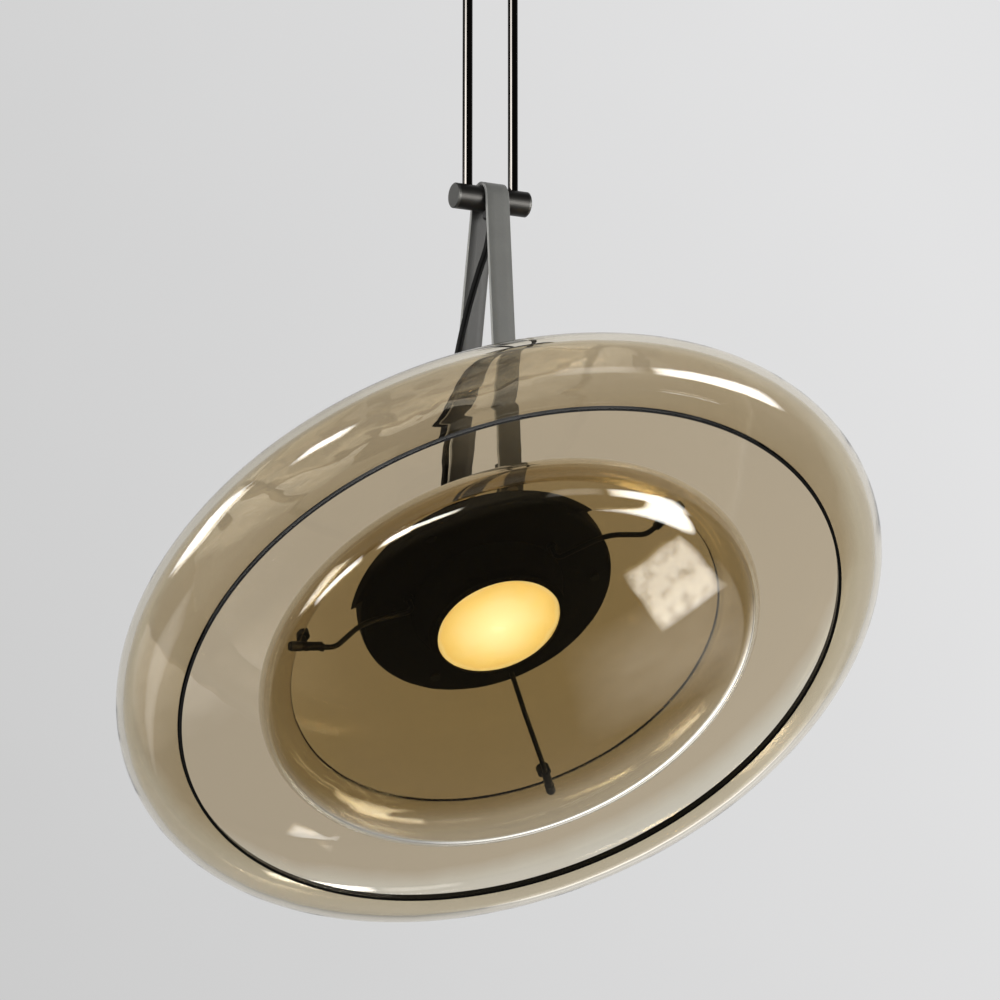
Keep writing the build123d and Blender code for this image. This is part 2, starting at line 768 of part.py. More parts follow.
with BuildPart() as led_chips:
    with BuildSketch(head_level(board_face)):
        Rectangle(chip_size, chip_size)
        with PolarLocations(chip_circle, chip_count):
            Rectangle(chip_size, chip_size)
    extrude(amount=-chip_height)
save(led_chips.part, "led_chips")

diffuser_edge = bezel_inner_radius - fit_gap
crown_radius = (diffuser_edge**2 + diffuser_crown**2) / (2 * diffuser_crown)
crown_sweep = degrees(asin(diffuser_edge / crown_radius))

with BuildPart() as diffuser:
    with BuildSketch(section):
        with BuildLine():
            Polyline(
                (0, boss_front - diffuser_crown),
                (0, boss_front + diffuser_thickness),
                (boss_inner_front - fit_gap, boss_front + diffuser_thickness),
                (boss_inner_front - fit_gap, boss_front),
                (diffuser_edge, boss_front),
            )
            CenterArc((0, boss_front - diffuser_crown + crown_radius), crown_radius, -90, crown_sweep)
        make_face()
    revolve(axis=head_axis)
save(diffuser.part, "diffuser")

with BuildPart() as diffuser_bezel:
    with BuildSketch(head_level(boss_front - bezel_lip)):
        Circle(boss_front_radius + fit_gap + bezel_wall)
        Circle(bezel_inner_radius, mode=Mode.SUBTRACT)
    extrude(amount=bezel_lip)
    with BuildSketch(head_level(boss_front)):
        Circle(boss_front_radius + fit_gap + bezel_wall)
        Circle(boss_front_radius + fit_gap, mode=Mode.SUBTRACT)
    extrude(amount=bezel_skirt)
save(diffuser_bezel.part, "diffuser_bezel")

# Arms and clips: bent wires from the housing's face, sleeves under the bowl's lip and thumb screws over it
arm_end_radius = sleeve_start_radius + sleeve_bore_depth - fit_gap

for index, angle in enumerate(arm_angles, start=1):
    plane = radial_section(angle)
    arm_root = (arm_root_radius, housing_face + arm_root_engagement)
    with BuildPart() as bowl_arm:
        with BuildLine(plane) as arm_path:
            FilletPolyline(
                arm_root,
                (arm_root_radius, housing_face - arm_drop),
                (arm_knee_radius, housing_face - arm_knee_drop),
                (arm_run_in_radius, sleeve_level),
                (arm_end_radius, sleeve_level),
                radius=arm_bends,
            )
        with BuildSketch(Plane(origin=arm_path.line @ 0, z_dir=arm_path.line % 0)):
            Circle(arm_diameter / 2)
        sweep()
    save(bowl_arm.part, f"bowl_arm_{index}")

    outward = plane.x_dir
    sleeve_root = plane.from_local_coords(Vector(sleeve_start_radius, sleeve_level, 0))
    screw_foot = plane.from_local_coords(Vector(clip_screw_circle, sleeve_level - sleeve_radius, 0))
    with BuildPart() as clip_sleeve:
        with BuildSketch(Plane(origin=sleeve_root, z_dir=outward)):
            Circle(sleeve_radius)
        extrude(amount=sleeve_length)
        with BuildSketch(Plane(origin=sleeve_root, z_dir=outward)):
            Circle(arm_diameter / 2 + arm_fit)
        extrude(amount=sleeve_bore_depth, mode=Mode.SUBTRACT)
        with BuildSketch(Plane(origin=screw_foot, z_dir=head.z_dir)):
            Circle(clip_screw_radius + clip_screw_clearance)
        extrude(amount=2 * sleeve_radius, mode=Mode.SUBTRACT)
    save(clip_sleeve.part, f"clip_sleeve_{index}")

    knob_foot = plane.from_local_coords(Vector(clip_screw_circle, knob_bottom, 0))
    with BuildPart() as clip_screw:
        with BuildSketch(Plane(origin=knob_foot, z_dir=head.z_dir)):
            Circle(clip_knob_radius)
        extrude(amount=clip_knob_height)
        chamfer(clip_screw.faces().sort_by(head_axis)[-1].edges(), length=clip_knob_chamfer)
        with BuildSketch(Plane(origin=screw_foot, z_dir=head.z_dir)):
            Circle(clip_screw_radius)
        extrude(amount=knob_bottom - sleeve_level + sleeve_radius)
    save(clip_screw.part, f"clip_screw_{index}")

with BuildPart() as arm_ferrules:
    with BuildSketch(head_level(housing_face)):
        with Locations(*arm_root_spots):
            Circle(ferrule_radius)
            Circle(arm_diameter / 2 + arm_fit, mode=Mode.SUBTRACT)
    extrude(amount=-ferrule_height)
save(arm_ferrules.part, "arm_ferrules")

with BuildPart() as lip_pads:
    for angle in arm_angles:
        plane = radial_section(angle)
        pad_root = plane.from_local_coords(Vector(pad_start_radius, sleeve_level, 0))
        with BuildSketch(Plane(origin=pad_root, z_dir=plane.x_dir)):
            Circle(sleeve_radius + pad_wall)
            Circle(sleeve_radius, mode=Mode.SUBTRACT)
        extrude(amount=pad_length)
save(lip_pads.part, "lip_pads")

# Supply cord: hangs from the grommet between the strap's legs, passes beside the yoke and stands in the gland
cord_end = Vector(gland_foot.X, gland_foot.Y, gland_foot.Z + gland_length)
cord_route = [
    Vector(0, 0, grommet_face),
    Vector(0, 0, grommet_face - 12.5),
    Vector(-5.8, 6.0, bar_z - 46),
    Vector(-12.9, 12.0, bar_z - 80),
    Vector(-15.0, 22.0, bar_z - 116),
    Vector(-16.4, 27.6, bar_z - 150),
    Vector(gland_foot.X, gland_foot.Y, cord_end.Z + 26),
    cord_end,
]
cord_radii = []
for before, at, after in zip(cord_route, cord_route[1:], cord_route[2:]):
    half_turn = radians((at - before).get_angle(after - at)) / 2
    cord_radii.append(0.45 * min((at - before).length, (after - at).length) / tan(half_turn))

with BuildPart() as supply_cord:
    with BuildLine() as cord_path:
        FilletPolyline(*cord_route, radius=cord_radii)
    with BuildSketch(Plane(origin=cord_path.line @ 0, z_dir=cord_path.line % 0)):
        Circle(cord_diameter / 2)
    sweep()
save(supply_cord.part, "supply_cord")

cord_length = sum(edge.length for edge in cord_path.edges())
cord_volume = pi * (cord_diameter / 2) ** 2 * cord_length
print("cord bend radii:", [round(radius, 1) for radius in cord_radii])
print(f"cord length {cord_length:.1f} mm, volume ratio {supply_cord.part.volume / cord_volume:.4f}")
print("pivot:", tuple(round(value, 3) for value in pivot))
for angle in arm_angles:
    at = radial_section(angle).from_local_coords(Vector(clip_screw_circle, knob_bottom, 0))
    print(f"clip screw at {angle}:", tuple(round(value, 3) for value in at))
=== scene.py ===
# %% [markdown]
# A tilting glass pendant lamp, dressed for its portrait. The solid model arrives as a fixed frame: every
# node is already in its place, in metres, with the ceiling at the origin, X along the crossbar and the
# light facing -Y. This lesson adds what solids lack: blown glass, leather, a hanging cord, finishes and
# light.

# %% Load the frame
import math

import bpy
from mathutils import Matrix, Vector


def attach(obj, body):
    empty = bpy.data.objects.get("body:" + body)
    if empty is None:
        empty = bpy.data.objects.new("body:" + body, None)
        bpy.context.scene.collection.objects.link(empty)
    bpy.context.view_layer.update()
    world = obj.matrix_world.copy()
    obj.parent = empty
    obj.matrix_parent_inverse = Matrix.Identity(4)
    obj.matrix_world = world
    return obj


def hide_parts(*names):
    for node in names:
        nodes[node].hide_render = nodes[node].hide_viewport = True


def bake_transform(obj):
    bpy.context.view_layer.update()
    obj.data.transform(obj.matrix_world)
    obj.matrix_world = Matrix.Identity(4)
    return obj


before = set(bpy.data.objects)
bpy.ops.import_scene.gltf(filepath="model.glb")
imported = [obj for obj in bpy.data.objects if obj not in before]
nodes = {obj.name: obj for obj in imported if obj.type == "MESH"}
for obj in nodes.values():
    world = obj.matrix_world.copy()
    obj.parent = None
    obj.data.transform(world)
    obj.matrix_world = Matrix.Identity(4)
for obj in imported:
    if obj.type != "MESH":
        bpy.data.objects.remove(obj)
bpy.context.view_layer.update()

# %% [markdown]
# The lamp head is tilted, so its round pieces are easiest to draw about their own axis. This cell keeps that
# axis once: a point out from the axis by a radius, at an angle, and up it by a height, all in millimetres.

# %% The head's own axes
MM = 0.001
BAR_Z = -340.0
HEAD_FORWARD, HEAD_DROP = 21.0, 265.2
TILT = math.radians(38.6)
HEAD = Vector((0.0, -HEAD_FORWARD, BAR_Z - HEAD_DROP))
HEAD_X = Vector((1.0, 0.0, 0.0))
HEAD_Y = Vector((0.0, math.cos(TILT), -math.sin(TILT)))
HEAD_UP = Vector((0.0, math.sin(TILT), math.cos(TILT)))


def head_point(radius, angle, height):
    """A point of the head, from millimetres about its axis to metres in the shared frame."""
    out = HEAD_X * math.cos(angle) + HEAD_Y * math.sin(angle)
    return (HEAD + out * radius + HEAD_UP * height) * MM


print("head centre:", tuple(round(c, 4) for c in HEAD * MM))

# %% [markdown]
# The camera stands low and to the left of the lamp's front and looks up at it by ten degrees, with a long
# lens. It is built from its own three directions, so that nothing depends on how a camera is aimed in the
# editor.

# %% Camera
LOOK_AROUND, LOOK_UP = math.radians(-27.5), math.radians(10.0)
SENSOR_WIDTH, LENS = 36.0, 127.1
STAND_BACK, STAND_LEFT, STAND_UP = 2.0, 0.00397, 0.08255
UP = Vector((0.0, 0.0, 1.0))

level = Vector((-math.sin(LOOK_AROUND), math.cos(LOOK_AROUND), 0.0))
look = level * math.cos(LOOK_UP) + UP * math.sin(LOOK_UP)
side = look.cross(UP).normalized()
over = side.cross(look)


def standing(right, up, back, at):
    """The placement of a camera or a light, from its three directions and its place."""
    return Matrix((
        (right.x, up.x, back.x, at.x),
        (right.y, up.y, back.y, at.y),
        (right.z, up.z, back.z, at.z),
        (0, 0, 0, 1),
    ))


camera_data = bpy.data.cameras.new("portrait_camera")
camera_data.sensor_width = SENSOR_WIDTH
camera_data.lens = LENS
camera = bpy.data.objects.new("portrait_camera", camera_data)
stand = HEAD * MM - side * STAND_LEFT + over * STAND_UP - look * STAND_BACK
camera.matrix_world = standing(side, over, -look, stand)
bpy.context.scene.collection.objects.link(camera)
bpy.context.scene.camera = camera
print("camera at", tuple(round(c, 3) for c in stand))

# %% [markdown]
# Finishes are written as sums. A small class stands for one socket of a node tree, and Python's own operators
# on it add the Math nodes. One function makes every other kind of node.

# %% A socket that can be added and multiplied


class Wire:
    """One value in a node tree: arithmetic on it adds Math nodes."""

    def __init__(self, tree, socket):
        self.tree = tree
        self.socket = socket

    def sum(self, operation, left, right):
        return node(self.tree, "ShaderNodeMath", {"operation": operation}, {0: left, 1: right})

    def __add__(self, other):
        return self.sum("ADD", self, other)

    def __radd__(self, other):
        return self.sum("ADD", other, self)

    def __sub__(self, other):
        return self.sum("SUBTRACT", self, other)

    def __rsub__(self, other):
        return self.sum("SUBTRACT", other, self)

    def __mul__(self, other):
        return self.sum("MULTIPLY", self, other)

    def __rmul__(self, other):
        return self.sum("MULTIPLY", other, self)

    def __truediv__(self, other):
        return self.sum("DIVIDE", self, other)

    def __rtruediv__(self, other):
        return self.sum("DIVIDE", other, self)

    def __pow__(self, other):
        return self.sum("POWER", self, other)

    def __rpow__(self, other):
        return self.sum("POWER", other, self)


def node(tree, kind, settings=None, values=None, out=0):
    """Adds a node: its settings first, then the values or wires of its sockets, and returns one output."""
    made = tree.nodes.new(kind)
    for name, value in (settings or {}).items():
        if name == "stops":
            colours = made.color_ramp.elements
            while len(colours) < len(value):
                colours.new(0.5)
            for element, (place, colour) in zip(colours, value):
                element.position = place
                element.color = (*colour, 1.0)
        else:
            setattr(made, name, value)
    for key, value in (values or {}).items():
        socket = made.inputs[key]
        if isinstance(value, Wire):
            tree.links.new(value.socket, socket)
        else:
            socket.default_value = value
    return Wire(tree, made.outputs[out])


def ramp(tree, amount, stops):
    """A colour from a list of places and colours, by a wire from 0 to 1."""
    return node(tree, "ShaderNodeValToRGB", {"stops": stops}, {"Fac": amount})


def measure(tree, operation, place, other):
    """One number from two vectors: their distance, or how far one goes along the other."""
    return node(
        tree, "ShaderNodeVectorMath", {"operation": operation}, {0: place, 1: tuple(other)}, out="Value"
    )


class Finish:
    """A material on one Principled shader: constants on its sockets, wires for what varies over a surface."""

    def __init__(self, name, **constants):
        self.material = bpy.data.materials.new(name)
        self.material.use_nodes = True
        self.tree = self.material.node_tree
        self.shader = next(n for n in self.tree.nodes if n.type == "BSDF_PRINCIPLED")
        for key, value in constants.items():
            self.shader.inputs[key.replace("_", " ")].default_value = value

    def node(self, kind, settings=None, values=None, out=0):
        return node(self.tree, kind, settings, values, out)

    def place(self):
        """Where a point is, in metres in the shared frame at rest."""
        return self.node("ShaderNodeTexCoord", out="Object")

    def noise(self, scale, detail=3.0, roughness=0.55, at=None):
        return self.node(
            "ShaderNodeTexNoise", None,
            {"Vector": at or self.place(), "Scale": scale, "Detail": detail, "Roughness": roughness},
        )

    def cells(self, scale):
        return self.node("ShaderNodeTexVoronoi", None, {"Vector": self.place(), "Scale": scale})

    def stretch(self, by):
        """The place, scaled along each axis, for grain that runs one way."""
        return self.node("ShaderNodeVectorMath", {"operation": "MULTIPLY"}, {0: self.place(), 1: by})

    def between(self, amount, low, high):
        """A colour between two, by a wire from 0 to 1."""
        return ramp(self.tree, amount, [(0.0, low), (1.0, high)])

    def from_point(self, centre):
        """The distance of a point from a centre, in metres."""
        return measure(self.tree, "DISTANCE", self.place(), centre)

    def feed(self, **wires):
        for key, wire in wires.items():
            self.tree.links.new(wire.socket, self.shader.inputs[key.replace("_", " ")])
        return self

    def bump(self, height, distance, strength):
        values = {"Height": height, "Distance": distance, "Strength": strength}
        return self.feed(Normal=self.node("ShaderNodeBump", None, values))


print("finish kit ready")

# %% [markdown]
# Metal first. The rods are polished dark bronze. The crossbar, the canopy and the fittings are satin and
# faintly drawn, and the bar's end faces are a lighter brushed bronze. The housing, its arms and its clips are
# powder coated: black, with a very fine pebble.

# %% Metal finishes


def bronze_finish(name, low, high, rough, grain=0.3):
    made = Finish(name, Metallic=1.0, Roughness=rough)
    drawn = made.noise(1.0, at=made.stretch((900.0, 900.0, 12.0)))
    cloud = made.noise(60.0)
    made.feed(
        Base_Color=made.between(drawn * grain + cloud * (1 - grain), low, high),
        Roughness=rough * (0.85 + cloud * 0.3),
    )
    return made.bump(drawn, 0.000004, grain)


def powder_finish(name, low, high, rough, shine):
    made = Finish(name, Roughness=rough, Specular_IOR_Level=shine)
    pebble = made.noise(2600.0, detail=2.0)
    cloud = made.noise(35.0)
    made.feed(Base_Color=made.between(cloud, low, high), Roughness=rough - 0.06 + 0.12 * pebble)
    return made.bump(pebble, 0.00005, 0.6)


def turned_finish(name):
    made = Finish(name, Metallic=1.0, Roughness=0.3)
    turned = made.noise(900.0)
    made.feed(
        Base_Color=made.between(turned, (0.36, 0.36, 0.35), (0.52, 0.52, 0.51)),
        Roughness=0.24 + turned * 0.16,
    )
    return made.bump(turned, 0.00002, 0.4)


rod_bronze = bronze_finish(
    "polished_dark_bronze", (0.060, 0.056, 0.052), (0.085, 0.080, 0.075), 0.07, grain=0.0
)
bronze = bronze_finish("satin_dark_bronze", (0.050, 0.049, 0.047), (0.082, 0.080, 0.076), 0.45)
cap_bronze = bronze_finish("brushed_bronze_face", (0.11, 0.11, 0.106), (0.16, 0.16, 0.153), 0.48)
black_coat = powder_finish(
    "black_powder_coat", (0.0020, 0.0018, 0.0014), (0.0042, 0.0038, 0.0030), 0.62, 0.06
)
wire_coat = powder_finish("black_wire_coat", (0.003, 0.003, 0.003), (0.007, 0.0068, 0.0065), 0.45, 0.15)
steel = turned_finish("plain_steel")
sink = turned_finish("machined_aluminium")
print("metal finishes made")

# %% [markdown]
# Rubber, plastic and the inner light parts: seldom seen, but each still gets its own grain.

# %% Rubber, plastic and light-engine finishes


def rubber_finish(name, low, high, rough, shine=0.35):
    made = Finish(name, Roughness=rough, Specular_IOR_Level=shine)
    grain = made.noise(1800.0)
    made.feed(Base_Color=made.between(grain, low, high), Roughness=rough - 0.08 + 0.16 * grain)
    return made.bump(grain, 0.00003, 0.5)


rubber = rubber_finish("soft_black_rubber", (0.012, 0.012, 0.012), (0.03, 0.03, 0.03), 0.6)
jacket = rubber_finish("cable_jacket", (0.0022, 0.0022, 0.0022), (0.0050, 0.0050, 0.0050), 0.5, 0.08)
white_plastic = rubber_finish("white_supply_plastic", (0.7, 0.7, 0.67), (0.8, 0.8, 0.78), 0.45)
board_white = rubber_finish("white_board_mask", (0.78, 0.78, 0.74), (0.86, 0.86, 0.82), 0.4)
phosphor = rubber_finish("yellow_phosphor", (0.85, 0.6, 0.12), (0.95, 0.75, 0.2), 0.3)
print("rubber and plastic finishes made")

# %% [markdown]
# The opal diffuser is the one thing that shines by itself. It is brightest in its middle and warmer towards
# its edge, where the light has more plastic to cross, with a thin pale ring just inside the bezel. Its colour
# is a ramp over the distance from the head's axis.

# %% Diffuser finish
OPAL_HEIGHT, OPAL_RADIUS = 17.0, 37.2
OPAL_GLOW = [
    (0.0, (1.0, 0.98, 0.88)),
    (0.5, (1.0, 0.94, 0.68)),
    (0.8, (1.0, 0.83, 0.40)),
    (0.90, (0.97, 0.73, 0.28)),
    (0.93, (1.0, 0.92, 0.62)),
    (0.96, (1.0, 0.90, 0.55)),
    (1.0, (0.55, 0.34, 0.08)),
]


def diffuser_finish():
    made = Finish("warm_opal", Base_Color=(0.9, 0.82, 0.6, 1.0), Roughness=0.4, Emission_Strength=1.0)
    out = made.from_point(head_point(0, 0, OPAL_HEIGHT)) / (OPAL_RADIUS * MM)
    cloud = made.noise(75.0, detail=4.0)
    glow = ramp(made.tree, out + (0.5 * cloud - 0.25) * (1 - out**6), OPAL_GLOW)
    bright = made.node(
        "ShaderNodeVectorMath", {"operation": "SCALE"}, {0: glow, "Scale": 2.4 - 1.1 * out}
    )
    return made.feed(Emission_Color=bright)


opal = diffuser_finish()
print("diffuser finish made")

# %% [markdown]
# Every node that keeps its solid takes its finish from a short list by name.

# %% Finishes on the solids
FINISH_OF = {
    rod_bronze: "suspension_rod_left suspension_rod_right",
    bronze: "canopy_cup canopy_screws rod_collars crossbar strap_yoke tilt_hub",
    cap_bronze: "crossbar_end_caps",
    black_coat: "lamp_housing housing_cover diffuser_bezel",
    wire_coat: "bowl_arm_1 bowl_arm_2 bowl_arm_3 arm_ferrules clip_sleeve_1 clip_sleeve_2 clip_sleeve_3 "
               "clip_screw_1 clip_screw_2 clip_screw_3 cover_screws",
    steel: "ceiling_plate rod_lock_nuts crossbar_grub_screws strap_rivets tilt_pin tilt_nut centre_nipple "
           "nipple_nut",
    rubber: "cord_grommet cord_gland friction_washers upper_gasket lower_gasket lip_pads",
    white_plastic: "led_driver terminal_block",
    board_white: "led_board",
    phosphor: "led_chips",
    sink: "heat_sink",
    opal: "diffuser",
}


def dress(name, finish):
    """Puts one finish on all of a solid's faces."""
    mesh = nodes[name].data
    mesh.materials.clear()
    mesh.materials.append(finish.material)


for finish, names in FINISH_OF.items():
    for name in names.split():
        dress(name, finish)
print("dressed", sum(len(names.split()) for names in FINISH_OF.values()), "solids")

# %% [markdown]
# The cord is a fixed length of thin flexible cable. It leaves the grommet under the crossbar, hangs between
# the two legs of the strap, passes beside the yoke and stands in the gland on the hub. Its line is one smooth
# spline with the solid's route points as its controls. A tube of rings follows that line.

# %% Supply cord
CORD_ROUTE = [
    (0.0, 0.0, BAR_Z - 11.7),
    (0.0, 0.0, BAR_Z - 24.2),
    (-5.8, 6.0, BAR_Z - 46.0),
    (-12.9, 12.0, BAR_Z - 80.0),
    (-15.0, 22.0, BAR_Z - 116.0),
    (-16.4, 27.6, BAR_Z - 150.0),
    (-17.0, 27.992, BAR_Z - 177.858),
    (-17.0, 27.992, BAR_Z - 203.858),
]
CORD_RADIUS = 2.0
CORD_SIDES = 20


def add_object(name, mesh, *finishes):
    """A new object in the scene, with its finishes and its faces shaded smooth."""
    for finish in finishes:
        mesh.materials.append(finish.material)
    mesh.polygons.foreach_set("use_smooth", [True] * len(mesh.polygons))
    piece = bpy.data.objects.new(name, mesh)
    bpy.context.scene.collection.objects.link(piece)
    return piece


def spline_points(route):
    """The points of a smooth line that has a route's points as its controls."""
    curve = bpy.data.curves.new("route_line", "CURVE")
    curve.dimensions = "3D"
    curve.resolution_u = 12
    spline = curve.splines.new("NURBS")
    spline.points.add(len(route) - 1)
    for point, at in zip(spline.points, route):
        point.co = (*(Vector(at) * MM), 1.0)
    spline.order_u = 3
    spline.use_endpoint_u = True
    holder = bpy.data.objects.new("route_line", curve)
    line = bpy.data.meshes.new_from_object(holder)
    points = [v.co.copy() for v in line.vertices]
    bpy.data.objects.remove(holder)
    bpy.data.meshes.remove(line)
    return points


def tube(name, points, radius, around, finish):
    """A closed tube of rings along a line of points."""
    vertices, faces = [], []
    across = Vector((0.0, 1.0, 0.0))
    for index, at in enumerate(points):
        ahead = points[min(index + 1, len(points) - 1)] - points[max(index - 1, 0)]
        ahead.normalize()
        across = (across - ahead * across.dot(ahead)).normalized()
        aside = ahead.cross(across)
        for step in range(around):
            turn = 2 * math.pi * step / around
            vertices.append(at + (across * math.cos(turn) + aside * math.sin(turn)) * radius)
    rings = len(points)
    for ring in range(rings - 1):
        for step in range(around):
            here, there = ring * around + step, ring * around + (step + 1) % around
            faces.append((here, there, there + around, here + around))
    faces.append(tuple(reversed(range(around))))
    faces.append(tuple(range((rings - 1) * around, rings * around)))
    mesh = bpy.data.meshes.new(name)
    mesh.from_pydata(vertices, [], faces)
    return add_object(name, mesh, finish)


cord_line = spline_points(CORD_ROUTE)
cord_length = sum((b - a).length for a, b in zip(cord_line, cord_line[1:]))
cord = tube("supply_cable", cord_line, CORD_RADIUS * MM, CORD_SIDES, jacket)
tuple(cord_line[len(cord_line) // 2])
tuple(cord_line[-8])
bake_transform(cord)
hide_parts("supply_cord")
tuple(cord_line[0])
print(f"cord: {len(cord_line)} rings, {cord_length * 1000:.1f} mm")

# %% [markdown]
# The strap is grey saddle leather. It has a fine pebbled grain on its outer face, a darker flesh side, and
# pale, slightly fibrous cut edges. The flesh side's darkness is partly its own tone and partly painted shade,
# since that side faces out on the shadowed rear leg.

# %% Leather finishes


def leather_finish(name, low, high):
    made = Finish(name, Roughness=0.55, Sheen_Weight=0.15)
    pebble = made.cells(1500.0)
    pore = made.noise(700.0, detail=4.0)
    cloud = made.noise(45.0, detail=4.0)
    made.feed(
        Base_Color=made.between(0.35 * pore + 0.65 * cloud, low, high),
        Roughness=0.46 + 0.2 * pore,
    )
    return made.bump(pebble * 0.6 + pore * 0.4, 0.00012, 0.7)


def cut_edge_finish():
    made = Finish("pale_cut_edge", Roughness=0.7)
    fibre = made.noise(1.0, detail=5.0, at=made.stretch((2400.0, 2400.0, 160.0)))
    made.feed(Base_Color=made.between(fibre, (0.16, 0.161, 0.154), (0.27, 0.27, 0.26)))
    return made.bump(fibre, 0.0001, 0.6)


leather = leather_finish("grey_leather_grain_side", (0.070, 0.071, 0.066), (0.130, 0.132, 0.124))
# Painted shade: the flesh side is darker than its own tone, for the shadowed rear leg that shows it.
flesh_and_shade = leather_finish("grey_leather_flesh_side_and_shade", (0.030, 0.030, 0.0285), (0.056, 0.056, 0.0535))
cut_edge = cut_edge_finish()
print("leather finishes made")

# %% [markdown]
# The strap folds over the crossbar, and its two legs run straight to the yoke. Its section is a flat bar with
# burnished corners, carried along the legs and the fold, so the cut edges are faces of their own and can have
# their own finish.

# %% Hanging strap
BAR_RADIUS, STRAP_CLEAR = 7.5, 0.3
STRAP_WIDTH, STRAP_THICK, STRAP_CORNER = 15.0, 2.2, 0.45
STRAP_BEND = BAR_RADIUS + STRAP_CLEAR + STRAP_THICK / 2
FRONT_END, REAR_END = (-25.0, -179.0), (45.5, -179.0)
LEG_STEPS, FOLD_STEPS = 40, 24
GRAIN_SIDE, FLESH_SIDE, CUT_EDGE = 0, 1, 2
STRAP_SHARP = math.radians(50)


def fold_bearing(end):
    """The bearing at which a leg, drawn from its end, touches the fold's circle."""
    reach, drop = end
    swing = math.acos(STRAP_BEND / math.hypot(reach, drop))
    return (math.atan2(drop, reach) + math.copysign(swing, reach)) % (2 * math.pi)


def on_fold(bearing):
    return (STRAP_BEND * math.cos(bearing), STRAP_BEND * math.sin(bearing), bearing)


def on_leg(end, bearing, part):
    """A point of a leg, by its part of the way from the leg's end to the fold."""
    y, z, _ = on_fold(bearing)
    return (end[0] * (1 - part) + y * part, end[1] * (1 - part) + z * part, bearing)


def strap_line():
    """Points along the strap's middle, from its front end over the bar to its rear end, and the way out."""
    front, rear = fold_bearing(FRONT_END), fold_bearing(REAR_END)
    sweep = rear - front - (2 * math.pi if rear > front else 0)
    line = [on_leg(FRONT_END, front, step / LEG_STEPS) for step in range(LEG_STEPS)]
    line += [on_fold(front + sweep * step / FOLD_STEPS) for step in range(FOLD_STEPS + 1)]
    line += [on_leg(REAR_END, rear, 1 - step / LEG_STEPS) for step in range(1, LEG_STEPS + 1)]
    return line


def strap_section():
    """The strap's section: across and through it in millimetres, and the finish of the side that follows."""
    half, thick, corner = STRAP_WIDTH / 2, STRAP_THICK / 2, STRAP_CORNER
    return [
        (-half + corner, thick, GRAIN_SIDE),
        (-half / 3, thick, GRAIN_SIDE),
        (half / 3, thick, GRAIN_SIDE),
        (half - corner, thick, CUT_EDGE),
        (half, thick - corner, CUT_EDGE),
        (half, corner - thick, CUT_EDGE),
        (half - corner, -thick, FLESH_SIDE),
        (half / 3, -thick, FLESH_SIDE),
        (-half / 3, -thick, FLESH_SIDE),
        (-half + corner, -thick, CUT_EDGE),
        (-half, corner - thick, CUT_EDGE),
        (-half, thick - corner, CUT_EDGE),
    ]


def make_strap():
    section, line = strap_section(), strap_line()
    vertices, faces, kinds = [], [], []
    for y, z, bearing in line:
        for across, through, _ in section:
            vertices.append(Vector((
                across, y + through * math.cos(bearing), BAR_Z + z + through * math.sin(bearing),
            )) * MM)
    count = len(section)
    for ring in range(len(line) - 1):
        for step in range(count):
            here, there = ring * count + step, ring * count + (step + 1) % count
            faces.append((here, there, there + count, here + count))
            kinds.append(section[step][2])
    faces.append(tuple(range(count)))
    faces.append(tuple(reversed(range((len(line) - 1) * count, len(line) * count))))
    kinds += [CUT_EDGE, CUT_EDGE]
    mesh = bpy.data.meshes.new("leather_strap")
    mesh.from_pydata(vertices, [], faces)
    strap = add_object("leather_strap", mesh, leather, flesh_and_shade, cut_edge)
    mesh.polygons.foreach_set("material_index", kinds)
    mesh.set_sharp_from_angle(angle=STRAP_SHARP)
    return strap


strap = make_strap()
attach(strap, "sling")
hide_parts("hanging_strap")
print("strap:", len(strap.data.polygons), "faces")

# %% [markdown]
# The glass is blown and smoked: clear, tinted amber, with faint waves from the blowing. Its tint is lighter
# round the shade's rim. The bowl's tint is lighter at its shoulder and lip, partly for the thinner wall there
# and partly as painted reflection of the bright room. It also leans lighter towards one side and a little
# darker towards the other, and that lean is painted reflection. The cut edge of the shade's mouth is painted
# near
# black: painted shade, since light enters it and never comes out, so it reads as a black line.

# %% Glass finishes
PAINTED_REFLECTION_SIDE = HEAD_X * 0.6 + HEAD_Y * 0.9
FAR_SIDE = 0.28
SHADE_TINT = [
    (0.0, (0.62, 0.51, 0.35)),
    (0.91, (0.64, 0.54, 0.39)),
    (0.955, (0.81, 0.75, 0.62)),
    (1.0, (0.87, 0.82, 0.715)),
]
# The bowl's light stops, at its shoulder and lip, are partly the thinner wall and partly painted reflection.
BOWL_TINT_AND_REFLECTION = [
    (0.78, (0.50, 0.40, 0.21)),
    (0.93, (0.55, 0.45, 0.27)),
    (0.97, (0.84, 0.79, 0.69)),
    (1.0, (0.92, 0.90, 0.84)),
]


def glass_finish(name, tint, above, reach, smoky, wave, lean=0.0):
    """Clear glass, tinted by the distance from a point on the axis and by how far it leans to one side."""
    made = Finish(name, Transmission_Weight=1.0, IOR=1.48, Roughness=0.0)
    smoke = made.noise(14.0)
    out = made.from_point(head_point(0, 0, above)) / (reach * MM) + (smoke - 0.5) * smoky
    # The lean is painted reflection: the tint is lighter towards one side and a little darker towards the
    # other.
    along = measure(made.tree, "DOT_PRODUCT", made.place(), PAINTED_REFLECTION_SIDE)
    aside = (along - PAINTED_REFLECTION_SIDE.dot(HEAD * MM)) * lean
    leant = made.node("ShaderNodeMath", {"operation": "MAXIMUM"}, {0: aside, 1: aside * FAR_SIDE})
    made.feed(Base_Color=ramp(made.tree, out + leant, tint))
    slow = made.noise(9.0, detail=1.0, roughness=0.4)
    fine = made.noise(38.0, detail=1.0, roughness=0.4)
    return made.bump(slow * 0.8 + fine * 0.2, wave, 0.5)


